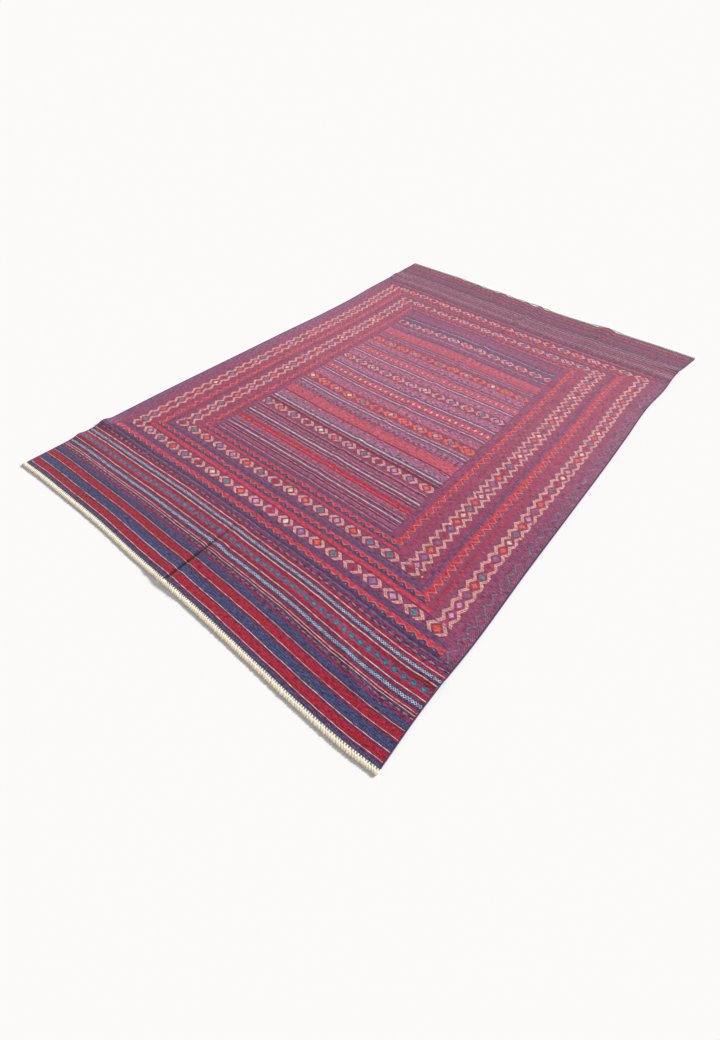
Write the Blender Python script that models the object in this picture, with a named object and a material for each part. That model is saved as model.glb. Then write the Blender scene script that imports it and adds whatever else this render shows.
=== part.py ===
"""A flat-woven kilim lying on a floor.

One cloth with the folds in which it lies, a wrapped cord along each side, and at each end the cotton warps,
gathered into bundles and plaited into a raised edge.

"Across" is measured along X from the cloth's left side and "along" is measured along Y from its near end.
Every value is in metres.
"""

import math
from collections import namedtuple

import bpy
import numpy as np

CLOTH_WIDTH = 2.00
CLOTH_LENGTH = 2.94
CLOTH_THICKNESS = 0.003
PIECE_GAP = 0.0003

CORD_WIDTH = 0.0055
CORD_HEIGHT = 0.0050

BUNDLES_PER_END = 110
BUNDLE_LENGTH = 0.009
BUNDLE_HEIGHT = 0.0024
BUNDLE_SHARE = 0.62
BUNDLE_TIP_GAP = 0.0006
PLAIT_WIDTH = 0.016
PLAIT_RIDGE_HEIGHT = 0.0058
PLAIT_VALLEY_HEIGHT = 0.0044
PLAIT_INNER_HEIGHT = 0.0036
PLAIT_EDGE_WAVE = 0.0012

# Where the true outline departs from the plain rectangle, towards +X on the sides and +Y on the ends.
EdgePoint = namedtuple("EdgePoint", "place shift")
LEFT_SIDE = [
    EdgePoint(place=0.00, shift=0.005),
    EdgePoint(place=0.18, shift=0.004),
    EdgePoint(place=0.32, shift=-0.002),
    EdgePoint(place=0.60, shift=-0.003),
    EdgePoint(place=0.90, shift=0.001),
    EdgePoint(place=1.20, shift=0.009),
    EdgePoint(place=1.55, shift=0.016),
    EdgePoint(place=1.90, shift=0.028),
    EdgePoint(place=2.20, shift=0.027),
    EdgePoint(place=2.42, shift=0.015),
    EdgePoint(place=2.66, shift=0.010),
    EdgePoint(place=2.94, shift=0.000),
]
RIGHT_SIDE = [
    EdgePoint(place=0.00, shift=-0.010),
    EdgePoint(place=0.22, shift=-0.018),
    EdgePoint(place=0.50, shift=-0.013),
    EdgePoint(place=0.90, shift=-0.020),
    EdgePoint(place=1.30, shift=-0.023),
    EdgePoint(place=1.65, shift=-0.026),
    EdgePoint(place=1.95, shift=-0.032),
    EdgePoint(place=2.28, shift=-0.040),
    EdgePoint(place=2.48, shift=-0.028),
    EdgePoint(place=2.72, shift=-0.027),
    EdgePoint(place=2.84, shift=-0.011),
    EdgePoint(place=2.94, shift=0.001),
]
NEAR_END = [
    EdgePoint(place=0.00, shift=0.003),
    EdgePoint(place=0.10, shift=0.010),
    EdgePoint(place=0.30, shift=0.016),
    EdgePoint(place=0.55, shift=0.022),
    EdgePoint(place=0.80, shift=0.018),
    EdgePoint(place=1.25, shift=0.017),
    EdgePoint(place=1.50, shift=0.010),
    EdgePoint(place=1.70, shift=0.005),
    EdgePoint(place=1.88, shift=0.006),
    EdgePoint(place=2.00, shift=0.014),
]
FAR_END = [
    EdgePoint(place=0.00, shift=0.008),
    EdgePoint(place=0.25, shift=0.011),
    EdgePoint(place=0.42, shift=0.009),
    EdgePoint(place=0.60, shift=-0.003),
    EdgePoint(place=0.80, shift=-0.007),
    EdgePoint(place=1.00, shift=-0.015),
    EdgePoint(place=1.20, shift=-0.016),
    EdgePoint(place=1.40, shift=-0.009),
    EdgePoint(place=1.65, shift=0.000),
    EdgePoint(place=1.80, shift=0.005),
    EdgePoint(place=2.00, shift=0.006),
]

# Each fold is a rounded ridge along a straight line over the floor. Its left and right sides are as seen from
# its start, looking towards its end.
Fold = namedtuple(
    "Fold",
    "name start_across start_along end_across end_along start_height end_height left_half_width right_half_width",
)
FOLDS = [
    Fold("centre crease, left lip", 0.975, 0.00, 0.972, 0.46, 0.009, 0.002, 0.060, 0.024),
    Fold("centre crease, right lip", 1.020, 0.00, 1.020, 0.46, 0.010, 0.005, 0.024, 0.055),
    Fold("centre fold, middle", 1.020, 0.46, 1.020, 2.50, 0.005, 0.006, 0.026, 0.050),
    Fold("centre fold, far", 1.020, 2.50, 1.034, 2.94, 0.006, 0.015, 0.030, 0.045),
    Fold("far hump left of the centre", 0.950, 2.58, 0.940, 2.94, 0.000, 0.009, 0.055, 0.045),
    Fold("far hump at the first fifth", 0.400, 2.74, 0.395, 2.94, 0.000, 0.006, 0.060, 0.060),
    Fold("far hump at the quarter", 0.565, 2.70, 0.560, 2.94, 0.000, 0.007, 0.055, 0.055),
    Fold("far hump past the quarter", 0.760, 2.66, 0.755, 2.94, 0.000, 0.009, 0.065, 0.060),
    Fold("far hump at three quarters", 1.480, 2.60, 1.490, 2.94, 0.000, 0.015, 0.085, 0.070),
    Fold("left side, near ridge", 0.000, 0.25, 0.260, 0.27, 0.007, 0.000, 0.040, 0.036),
    Fold("left side, second ridge", 0.000, 0.38, 0.300, 0.40, 0.012, 0.000, 0.052, 0.048),
    Fold("left side, far ridge", 0.000, 2.69, 0.160, 2.70, 0.006, 0.000, 0.050, 0.050),
    Fold("right side, near ripple", 2.000, 0.32, 1.660, 0.30, 0.007, 0.000, 0.046, 0.040),
    Fold("near right crease", 1.600, 0.27, 1.810, 0.15, 0.004, 0.004, 0.034, 0.034),
    Fold("right side, far ripple", 2.000, 2.74, 1.840, 2.72, 0.007, 0.000, 0.045, 0.045),
    Fold("right side, next ripple", 2.000, 2.60, 1.860, 2.60, 0.005, 0.000, 0.045, 0.045),
]

# The cloth's faces are closer together where it is folded.
Zone = namedtuple("Zone", "start end step")
ACROSS_ZONES = [
    Zone(start=0.00, end=0.92, step=0.046),
    Zone(start=0.92, end=0.96, step=0.020),
    Zone(start=0.96, end=1.035, step=0.0075),
    Zone(start=1.035, end=1.08, step=0.015),
    Zone(start=1.08, end=2.00, step=0.046),
]
ALONG_ZONES = [
    Zone(start=0.00, end=0.20, step=0.050),
    Zone(start=0.20, end=0.46, step=0.026),
    Zone(start=0.46, end=2.54, step=0.130),
    Zone(start=2.54, end=2.94, step=0.050),
]

CLOTH_COLOUR = (0.24, 0.05, 0.12, 1.0)
CORD_COLOUR = (0.05, 0.06, 0.16, 1.0)
COTTON_COLOUR = (0.80, 0.74, 0.60, 1.0)


def lines_through(zones):
    """The places of the cloth's grid lines, evenly spaced inside each zone."""
    places = [zones[0].start]
    for zone in zones:
        count = max(1, round((zone.end - zone.start) / zone.step))
        places.extend(np.linspace(zone.start, zone.end, count + 1)[1:])
    return np.array(places)


def edge_shift(table, places):
    """A smooth curve through a table of edge points, read at the given places."""
    at = np.array([point.place for point in table])
    shift = np.array([point.shift for point in table])
    slope = np.gradient(shift, at)
    left = np.clip(np.searchsorted(at, places, side="right") - 1, 0, len(at) - 2)
    span = at[left + 1] - at[left]
    part = (places - at[left]) / span
    start_weight = 2 * part**3 - 3 * part**2 + 1
    start_slope_weight = part**3 - 2 * part**2 + part
    end_slope_weight = part**3 - part**2
    return (
        start_weight * shift[left]
        + (1 - start_weight) * shift[left + 1]
        + start_slope_weight * span * slope[left]
        + end_slope_weight * span * slope[left + 1]
    )


def fold_height(across, along):
    """How high the cloth's underside lies over the floor."""
    height = np.zeros(np.broadcast(across, along).shape)
    for fold in FOLDS:
        run = (fold.end_across - fold.start_across, fold.end_along - fold.start_along)
        aside = (across - fold.start_across, along - fold.start_along)
        part = np.clip((aside[0] * run[0] + aside[1] * run[1]) / (run[0] ** 2 + run[1] ** 2), 0, 1)
        distance = np.hypot(aside[0] - part * run[0], aside[1] - part * run[1])
        on_left = run[0] * aside[1] - run[1] * aside[0] > 0
        half_width = np.where(on_left, fold.left_half_width, fold.right_half_width)
        crest = fold.start_height + part * (fold.end_height - fold.start_height)
        height += crest * 0.5 * (1 + np.cos(math.pi * np.minimum(distance / half_width, 1)))
    return height


def cloth_underside(across, along):
    """The places of the underside's points, for a grid of positions in the flat cloth."""
    across_grid, along_grid = np.meshgrid(across, along, indexing="ij")
    from_left = across_grid / CLOTH_WIDTH
    from_near = along_grid / CLOTH_LENGTH
    x = across_grid + (1 - from_left) * edge_shift(LEFT_SIDE, along_grid)
    x += from_left * edge_shift(RIGHT_SIDE, along_grid)
    y = along_grid + (1 - from_near) * edge_shift(NEAR_END, across_grid)
    y += from_near * edge_shift(FAR_END, across_grid)
    return np.stack([x, y, fold_height(across_grid, along_grid)], axis=-1)


def material(name, colour, roughness):
    made = bpy.data.materials.new(name)
    made.use_nodes = True
    made.diffuse_color = colour
    shader = made.node_tree.nodes["Principled BSDF"]
    shader.inputs["Base Color"].default_value = colour
    shader.inputs["Roughness"].default_value = roughness
    shader.inputs["Metallic"].default_value = 0.0
    return made


def mesh_object(name, points, faces, surface, parent, smooth_angle=None):
    mesh = bpy.data.meshes.new(name)
    mesh.from_pydata([tuple(point) for point in points], [], faces)
    mesh.materials.append(surface)
    if smooth_angle is not None:
        mesh.shade_smooth()
        mesh.set_sharp_from_angle(angle=smooth_angle)
    mesh.update()
    made = bpy.data.objects.new(name, mesh)
    made.parent = parent
    bpy.context.scene.collection.objects.link(made)
    return made


def make_cloth(underside, surface, parent):
    """The cloth: its underside, the same grid raised by its thickness, and a wall all round."""
    columns, rows = underside.shape[:2]
    top = underside + (0, 0, CLOTH_THICKNESS)
    points = np.concatenate([underside.reshape(-1, 3), top.reshape(-1, 3)])
    lift = columns * rows

    def at(column, row):
        return column * rows + row

    faces = []
    for column in range(columns - 1):
        for row in range(rows - 1):
            ring = [at(column, row), at(column + 1, row), at(column + 1, row + 1), at(column, row + 1)]
            faces.append(ring[::-1])
            faces.append([lift + corner for corner in ring])
    rim = [at(column, 0) for column in range(columns)]
    rim += [at(columns - 1, row) for row in range(1, rows)]
    rim += [at(column, rows - 1) for column in range(columns - 2, -1, -1)]
    rim += [at(0, row) for row in range(rows - 2, 0, -1)]
    for here, following in zip(rim, rim[1:] + rim[:1]):
        faces.append([here, following, lift + following, lift + here])
    return mesh_object("kilim_cloth", points, faces, surface, parent, smooth_angle=math.radians(40))


def make_side_cord(name, edge, outward, surface, parent):
    """The cord wrapped along one side: one six-sided section carried along the cloth's edge, flat below."""
    section = [
        (PIECE_GAP, 0.0),
        (CORD_WIDTH * 0.80, 0.0),
        (CORD_WIDTH, CORD_HEIGHT * 0.45),
        (CORD_WIDTH * 0.78, CORD_HEIGHT * 0.90),
        (CORD_WIDTH * 0.40, CORD_HEIGHT),
        (PIECE_GAP, CORD_HEIGHT * 0.80),
    ]
    points = []
    for place in edge:
        for away, up in section:
            points.append(place + (outward * away, 0, up))
    sides = len(section)
    faces = []
    for ring in range(len(edge) - 1):
        for side in range(sides):
            following = (side + 1) % sides
            here = ring * sides
            ahead = here + sides
            faces.append([here + side, ahead + side, ahead + following, here + following])
    faces.append(list(range(sides)))
    faces.append([len(points) - 1 - side for side in range(sides)])
    if outward < 0:
        faces = [face[::-1] for face in faces]
    return mesh_object(name, points, faces, surface, parent, smooth_angle=math.radians(50))


def make_end_plait(name, edge, outward, surface, parent):
    """One plaited end: the raised plait, and the bundles of warp that reach from it to the cloth's edge.

    Each bundle has a section of the plait at either of its sides. The plait is higher at the one side than at
    the other, so that its top runs in slanting ridges.
    """
    reach = CORD_WIDTH + CLOTH_THICKNESS
    ends = (edge[0, 0] - reach, edge[-1, 0] + reach)
    pitch = (ends[1] - ends[0]) / BUNDLES_PER_END
    half_bundle = pitch * BUNDLE_SHARE / 2

    def place(x, away, up):
        on_edge = min(max(x, edge[0, 0]), edge[-1, 0])
        y = np.interp(on_edge, edge[:, 0], edge[:, 1])
        z = np.interp(on_edge, edge[:, 0], edge[:, 2])
        return (x, y + outward * away, z + up)

    points = []
    sections = []
    tips = []
    for bundle in range(BUNDLES_PER_END):
        middle = ends[0] + (bundle + 0.5) * pitch
        for side in (-1, 1):
            x = middle + side * half_bundle
            ridge = side > 0
            outer = BUNDLE_LENGTH + PLAIT_WIDTH + (PLAIT_EDGE_WAVE if ridge else 0.0)
            crown = PLAIT_RIDGE_HEIGHT if ridge else PLAIT_VALLEY_HEIGHT
            sections.append(len(points))
            points.append(place(x, BUNDLE_LENGTH, 0.0))
            points.append(place(x, BUNDLE_LENGTH, BUNDLE_HEIGHT))
            points.append(place(x, BUNDLE_LENGTH + PLAIT_WIDTH * 0.15, PLAIT_INNER_HEIGHT))
            points.append(place(x, BUNDLE_LENGTH + PLAIT_WIDTH * 0.60, crown))
            points.append(place(x, outer, crown * 0.45))
            points.append(place(x, outer, 0.0))
            tips.append(len(points))
            points.append(place(x, BUNDLE_TIP_GAP, 0.0))
            points.append(place(x, BUNDLE_TIP_GAP, BUNDLE_HEIGHT))

    ring = range(6)
    faces = [[sections[0] + corner for corner in ring]]
    faces.append([sections[-1] + corner for corner in reversed(ring)])
    for index in range(len(sections) - 1):
        here, ahead = sections[index], sections[index + 1]
        bundle_root = index % 2 == 0
        for corner in ring:
            following = (corner + 1) % 6
            if corner == 0 and bundle_root:
                continue
            faces.append([ahead + corner, ahead + following, here + following, here + corner])
        if bundle_root:
            near, far = tips[index], tips[index + 1]
            faces.append([here, near, near + 1, here + 1])
            faces.append([ahead, ahead + 1, far + 1, far])
            faces.append([near, far, far + 1, near + 1])
            faces.append([here + 1, near + 1, far + 1, ahead + 1])
            faces.append([here, ahead, far, near])
    if outward < 0:
        faces = [face[::-1] for face in faces]
    return mesh_object(name, points, faces, surface, parent, smooth_angle=math.radians(25))


def centre_on_floor(parent, pieces):
    """Moves everything so that its box is centred over the origin and stands on the floor."""
    places = np.array([vertex.co for piece in pieces for vertex in piece.data.vertices])
    low, high = places.min(axis=0), places.max(axis=0)
    parent.location = (-(low[0] + high[0]) / 2, -(low[1] + high[1]) / 2, -low[2])


def main():
    for old in list(bpy.data.objects):
        bpy.data.objects.remove(old, do_unlink=True)

    parent = bpy.data.objects.new("kilim", None)
    bpy.context.scene.collection.objects.link(parent)
    wool = material("flat_woven_wool", CLOTH_COLOUR, 0.9)
    wrapping = material("wrapped_wool", CORD_COLOUR, 0.9)
    cotton = material("plaited_cotton", COTTON_COLOUR, 0.85)

    underside = cloth_underside(lines_through(ACROSS_ZONES), lines_through(ALONG_ZONES))
    pieces = [
        make_cloth(underside, wool, parent),
        make_side_cord("side_cord_left", underside[0], -1, wrapping, parent),
        make_side_cord("side_cord_right", underside[-1], 1, wrapping, parent),
        make_end_plait("end_plait_near", underside[:, 0], -1, cotton, parent),
        make_end_plait("end_plait_far", underside[:, -1], 1, cotton, parent),
    ]
    centre_on_floor(parent, pieces)


main()
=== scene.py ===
"""A flat-woven kilim on a pale studio floor.

The cloth is one closed sheet in the folds of the CAD part. Its pattern is worked out by materials: each zone of
the cloth, such as a border row or a run of field stripes, has a material of its own. All lengths are in metres.

Places in the pattern are p, from the left side to the right, and q, from the near end to the far one. The border
is nearly the same on all sides, so it is described by a, the distance from the nearer side, and b, the distance
from the nearer end, both in the proportions of the right-hand and near parts of the border.
"""

import math
from collections import namedtuple

import bpy
import numpy as np
from mathutils import Matrix, Vector


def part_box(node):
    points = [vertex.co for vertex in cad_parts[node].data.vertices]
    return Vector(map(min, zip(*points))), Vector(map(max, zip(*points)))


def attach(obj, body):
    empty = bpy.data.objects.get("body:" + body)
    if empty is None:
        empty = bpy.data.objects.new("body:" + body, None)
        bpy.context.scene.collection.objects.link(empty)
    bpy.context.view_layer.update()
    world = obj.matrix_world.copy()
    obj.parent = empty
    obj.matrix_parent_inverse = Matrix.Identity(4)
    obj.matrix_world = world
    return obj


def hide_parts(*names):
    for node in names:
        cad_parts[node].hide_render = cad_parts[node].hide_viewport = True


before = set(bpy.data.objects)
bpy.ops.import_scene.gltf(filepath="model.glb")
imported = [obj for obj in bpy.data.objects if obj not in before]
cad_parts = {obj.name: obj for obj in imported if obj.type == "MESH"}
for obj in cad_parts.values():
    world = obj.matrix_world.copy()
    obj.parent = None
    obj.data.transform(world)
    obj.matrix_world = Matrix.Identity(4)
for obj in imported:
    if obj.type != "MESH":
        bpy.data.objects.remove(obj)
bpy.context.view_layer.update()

WIDTH = 2.00
LENGTH = 2.94
THICKNESS = 0.003

CORD_WIDTH = 0.0055
CORD_HEIGHT = 0.0050
PIECE_GAP = 0.0006

# Where the true outline departs from the plain rectangle, as in the CAD part: (place along the edge, shift).
LEFT_SIDE = [
    (0.00, 0.005), (0.18, 0.004), (0.32, -0.002), (0.60, -0.003), (0.90, 0.001), (1.20, 0.009),
    (1.55, 0.016), (1.90, 0.028), (2.20, 0.027), (2.42, 0.015), (2.66, 0.010), (2.94, 0.000),
]
RIGHT_SIDE = [
    (0.00, -0.010), (0.22, -0.018), (0.50, -0.013), (0.90, -0.020), (1.30, -0.023), (1.65, -0.026),
    (1.95, -0.032), (2.28, -0.040), (2.48, -0.028), (2.72, -0.027), (2.84, -0.011), (2.94, 0.001),
]
NEAR_END = [
    (0.00, 0.003), (0.10, 0.010), (0.30, 0.016), (0.55, 0.022), (0.80, 0.018),
    (1.25, 0.017), (1.50, 0.010), (1.70, 0.005), (1.88, 0.006), (2.00, 0.014),
]
FAR_END = [
    (0.00, 0.008), (0.25, 0.011), (0.42, 0.009), (0.60, -0.003), (0.80, -0.007), (1.00, -0.015),
    (1.20, -0.016), (1.40, -0.009), (1.65, 0.000), (1.80, 0.005), (2.00, 0.006),
]

# The folds, as in the CAD part: rounded ridges along straight lines over the floor.
Fold = namedtuple(
    "Fold",
    "start_across start_along end_across end_along start_height end_height left_half_width right_half_width",
)
FOLDS = [
    Fold(0.975, 0.00, 0.972, 0.46, 0.009, 0.002, 0.060, 0.024),  # centre crease, left lip
    Fold(1.020, 0.00, 1.020, 0.46, 0.010, 0.005, 0.024, 0.055),  # centre crease, right lip
    Fold(1.020, 0.46, 1.020, 2.50, 0.005, 0.006, 0.026, 0.050),  # centre fold, middle
    Fold(1.020, 2.50, 1.034, 2.94, 0.006, 0.015, 0.030, 0.045),  # centre fold, far
    Fold(0.950, 2.58, 0.940, 2.94, 0.000, 0.009, 0.055, 0.045),
    Fold(0.400, 2.74, 0.395, 2.94, 0.000, 0.006, 0.060, 0.060),
    Fold(0.565, 2.70, 0.560, 2.94, 0.000, 0.007, 0.055, 0.055),
    Fold(0.760, 2.66, 0.755, 2.94, 0.000, 0.009, 0.065, 0.060),
    Fold(1.480, 2.60, 1.490, 2.94, 0.000, 0.015, 0.085, 0.070),
    Fold(0.000, 0.25, 0.260, 0.27, 0.007, 0.000, 0.040, 0.036),
    Fold(0.000, 0.38, 0.300, 0.40, 0.012, 0.000, 0.052, 0.048),
    Fold(0.000, 2.69, 0.160, 2.70, 0.006, 0.000, 0.050, 0.050),
    Fold(2.000, 0.32, 1.660, 0.30, 0.007, 0.000, 0.046, 0.040),
    Fold(1.600, 0.27, 1.810, 0.15, 0.004, 0.004, 0.034, 0.034),
    Fold(2.000, 2.74, 1.840, 2.72, 0.007, 0.000, 0.045, 0.045),
    Fold(2.000, 2.60, 1.860, 2.60, 0.005, 0.000, 0.045, 0.045),
]

# How far the rows bend away from straight, in millimetres towards the far end: one line of the table for each
# q, with a value for each p.
BOW_ACROSS = [0.00, 0.10, 0.46, 0.70, 0.90, 1.18, 1.42, 1.60, 1.90, 2.00]
BOW = [
    (0.00, [0, 0, 0, 0, 0, 0, 0, 0, 0, 0]),
    (0.23, [-16, -16, -16, -6, 0, 1, 4, -3, -8, -8]),
    (0.33, [-20, -20, -16, -4, 0, 0, 4, 0, -8, -8]),
    (0.49, [-6, -6, -14, -4, 0, 2, 6, 9, -2, -2]),
    (0.63, [-10, -10, -10, -5, 0, 3, 7, 9, 0, 0]),
    (0.79, [-14, -14, -14, -5, 0, 2, 4, 5, 0, 0]),
    (1.09, [-6, -6, -6, -5, 0, 2, 5, 6, 3, 3]),
    (1.41, [3, 3, 3, -5, 0, 13, 30, 20, 10, 10]),
    (1.53, [0, 0, 1, -5, 0, 15, 29, 20, 10, 10]),
    (1.72, [-11, -11, -11, -8, 0, 13, 21, 15, 8, 8]),
    (1.81, [-13, -13, -13, -8, 0, 10, 12, 10, 5, 5]),
    (1.96, [-25, -25, -25, -10, 0, 8, 5, 0, -5, -5]),
    (2.13, [-30, -30, -36, -12, 0, -8, -16, -15, -15, -15]),
    (2.25, [-28, -28, -32, -12, 0, -4, -22, -15, -15, -15]),
    (2.43, [-15, -15, -18, -12, -6, -9, -16, -14, -16, -16]),
    (2.55, [-15, -15, -17, -14, -10, -15, -24, -24, -28, -28]),
    (2.70, [-22, -22, -22, -22, -22, -24, -27, -27, -27, -27]),
    (2.89, [-20, -20, -20, -20, -20, -22, -24, -24, -24, -24]),
    (2.94, [0, 0, 0, 0, 0, 0, 0, 0, 0, 0]),
]

# The border's proportions: a at places p on the left, and b at places q at the far end.
LEFT_P = [0.0, 0.126, 0.302, 0.436]
LEFT_A = [0.0, 0.1235, 0.345, 0.5075]
FAR_Q = [2.335, 2.436, 2.549, 2.94]
FAR_B = [0.727, 0.6265, 0.489, 0.0]

# Where the border's zones begin and end.
SIDE_EDGE = 0.055
RING_A = [0.0845, 0.1685, 0.286, 0.394, 0.5075]
RING_B = [0.4575, 0.5145, 0.600, 0.651, 0.727]
PANEL_MIDDLE = 0.198
PANEL_END = 0.400

SRGB = {
    "plum": (118, 64, 96),
    "dark plum": (78, 42, 68),
    "purple": (104, 76, 114),
    "dusk": (88, 66, 108),
    "navy": (74, 84, 132),
    "dark navy": (50, 52, 88),
    "red": (190, 26, 48),
    "bright red": (206, 42, 58),
    "crimson": (156, 38, 62),
    "dark red": (122, 30, 52),
    "raspberry": (172, 62, 90),
    "coral": (200, 90, 104),
    "salmon": (166, 70, 96),
    "zigzag": (230, 102, 82),
    "rust": (196, 62, 76),
    "pink": (186, 110, 134),
    "mauve": (150, 86, 114),
    "rose": (202, 162, 164),
    "cream": (218, 194, 180),
    "line": (200, 182, 180),
    "grey": (170, 164, 164),
    "white": (206, 208, 216),
    "pale blue": (180, 194, 214),
    "faint": (186, 172, 190),
    "blue": (98, 122, 178),
    "slate": (98, 106, 142),
    "sea": (74, 120, 136),
    "teal": (50, 132, 150),
    "orange": (224, 96, 66),
    "lilac": (178, 148, 190),
    "gold": (190, 108, 84),
    "empty": (142, 54, 84),
    "painted sheen": (184, 124, 142),
}

# Each stripe is spun of two yarns. A dashed stripe shows them in longer dashes.
Yarn = namedtuple("Yarn", "light dark dashed")
YARNS = {
    "navy": Yarn("navy", "dark navy", 0),
    "red": Yarn("red", "dark red", 0),
    "crimson": Yarn("crimson", "dark plum", 0),
    "dark": Yarn("dark plum", "dark navy", 0),
    "ground": Yarn("raspberry", "purple", 0),
    "dusky": Yarn("plum", "dusk", 0),
    "mauve": Yarn("mauve", "dusk", 0),
    "plum": Yarn("raspberry", "purple", 0),
    "mottled": Yarn("pink", "purple", 1),
    "dashes": Yarn("pink", "purple", 0),
    "line": Yarn("line", "rose", 0),
    "rose": Yarn("rose", "raspberry", 0),
    "pink": Yarn("pink", "raspberry", 0),
    "bright": Yarn("bright red", "crimson", 0),
    "rust": Yarn("rust", "raspberry", 1),
    "coral": Yarn("coral", "salmon", 0),
    "pale blue": Yarn("pale blue", "grey", 0),
    "faint": Yarn("faint", "purple", 0),
    "blue": Yarn("slate", "navy", 0),
    "violet": Yarn("purple", "dusk", 0),
    "heather": Yarn("raspberry", "dusk", 0),
    "night": Yarn("dusk", "dark navy", 1),
}

# Stripes: where each begins, and its yarn. The last entry is where they end.
PANEL_OUTER = [
    (0.0000, "navy"), (0.0095, "crimson"), (0.0120, "dark"), (0.0140, "crimson"), (0.0160, "dark"),
    (0.0178, "line"), (0.0202, "dark"), (0.0218, "red"), (0.0477, "dark"), (0.0500, "crimson"),
    (0.0520, "dark"), (0.0540, "line"), (0.0563, "dark"), (0.0580, "crimson"), (0.0600, "navy"),
    (0.0860, "crimson"), (0.0885, "dark"), (0.0910, "crimson"), (0.0945, "dark"), (0.0970, "line"),
    (0.0993, "dark"), (0.1005, "red"), (0.1265, "dark"), (0.1285, "crimson"), (0.1305, "dark"),
    (0.1325, "line"), (0.1348, "dark"), (0.1375, "crimson"), (0.1400, "dark"), (0.1425, "navy"),
    (0.1630, "crimson"), (0.1645, "red"), (0.1690, "dark"), (0.1705, "night"), (0.1870, "dark"),
    (0.1885, "red"), (0.1910, "line"), (0.1935, "dark"), (0.1960, "crimson"), (0.1985, None),
]
PANEL_INNER = [
    (0.1975, "crimson"), (0.2000, "line"), (0.2030, "dark"), (0.2050, "red"), (0.2110, "crimson"),
    (0.2135, "dark"), (0.2160, "navy"), (0.2370, "dark"), (0.2385, "red"), (0.2445, "dark"),
    (0.2485, "line"), (0.2522, "dark"), (0.2555, "red"), (0.2680, "ground"), (0.2950, "red"),
    (0.3060, "dark"), (0.3095, "line"), (0.3140, "dark"), (0.3160, "crimson"), (0.3215, "dark"),
    (0.3230, "navy"), (0.3410, "dark"), (0.3425, "red"), (0.3495, "dark"), (0.3515, "line"),
    (0.3550, "dark"), (0.3570, "red"), (0.3660, "night"), (0.3835, "red"), (0.3890, "dark"),
    (0.3910, "blue"), (0.3975, "dark"), (0.4005, None),
]
FIELD_STRIPES = [
    [
        (0.7260, "rose"), (0.7310, "crimson"), (0.7370, "plum"), (0.7430, "dashes"), (0.7570, "crimson"),
        (0.7660, "rose"), (0.7700, "crimson"), (0.7760, "heather"), (0.7844, "violet"), (0.7866, "pale blue"), (0.7928, "violet"), (0.7970, "heather"),
        (0.8020, "crimson"), (0.8095, "rose"), (0.8140, "plum"), (0.8260, "dashes"), (0.8420, "bright"),
        (0.8525, "coral"), (0.8575, "bright"), (0.8730, "plum"), (0.8780, "dashes"), (0.8900, "crimson"),
        (0.8985, "rose"), (0.9035, "crimson"), (0.9100, "heather"), (0.9162, "violet"), (0.9184, "pale blue"), (0.9246, "violet"), (0.9290, "heather"),
        (0.9340, "crimson"), (0.9385, "rose"), (0.9435, "plum"), (0.9570, "dashes"), (0.9690, "crimson"),
        (0.9800, "rose"), (0.9850, "plum"), (1.0000, None),
    ],
    [
        (1.0500, "crimson"), (1.0650, "rose"), (1.0700, "crimson"), (1.0760, "heather"), (1.0800, "violet"),
        (1.0845, "pale blue"), (1.0930, "violet"), (1.0970, "heather"), (1.1010, "mottled"), (1.1200, "dashes"), (1.1370, "mottled"), (1.1500, "red"),
        (1.1580, "coral"), (1.2220, "crimson"), (1.2270, "dashes"), (1.2460, "mottled"), (1.2620, "plum"),
        (1.2727, "violet"), (1.2749, "pale blue"), (1.2811, "violet"), (1.2870, "plum"), (1.2950, "rose"), (1.3010, "plum"), (1.3150, None),
    ],
    [
        (1.3650, "plum"), (1.3740, "pink"), (1.3840, "mottled"), (1.4080, "pink"), (1.4180, "plum"),
        (1.4332, "violet"), (1.4354, "pale blue"), (1.4416, "violet"), (1.4475, "heather"), (1.4540, "pink"), (1.4640, "crimson"), (1.4700, "coral"),
        (1.5080, "plum"), (1.5274, "violet"), (1.5296, "pale blue"), (1.5359, "violet"), (1.5430, "heather"), (1.5480, "mottled"), (1.5900, "pink"),
        (1.5980, "plum"), (1.6050, None),
    ],
    [
        (1.6580, "plum"), (1.6640, "pink"), (1.6700, "mottled"), (1.6940, "pink"), (1.7040, "plum"),
        (1.7167, "violet"), (1.7189, "pale blue"), (1.7251, "violet"), (1.7320, "heather"), (1.7380, "pink"), (1.7480, "coral"), (1.7920, "plum"),
        (1.8072, "violet"), (1.8094, "faint"), (1.8156, "violet"), (1.8230, "plum"), (1.8300, "pink"), (1.8400, "mottled"), (1.8650, "pink"),
        (1.8750, "plum"), (1.8810, None),
    ],
    [
        (1.9350, "plum"), (1.9592, "violet"), (1.9614, "faint"), (1.9676, "violet"), (1.9740, "plum"), (1.9800, "pink"), (1.9900, "plum"),
        (2.0080, "coral"), (2.0820, "violet"), (2.1000, "plum"), (2.1297, "violet"), (2.1319, "faint"), (2.1381, "violet"), (2.1450, "plum"),
        (2.1640, None),
    ],
    [
        (2.2150, "dusky"), (2.2432, "violet"), (2.2454, "faint"), (2.2516, "violet"), (2.2620, "dusky"), (2.2750, "plum"), (2.3180, "dusky"),
        (2.3240, "mauve"), (2.3360, None),
    ],
]

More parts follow.
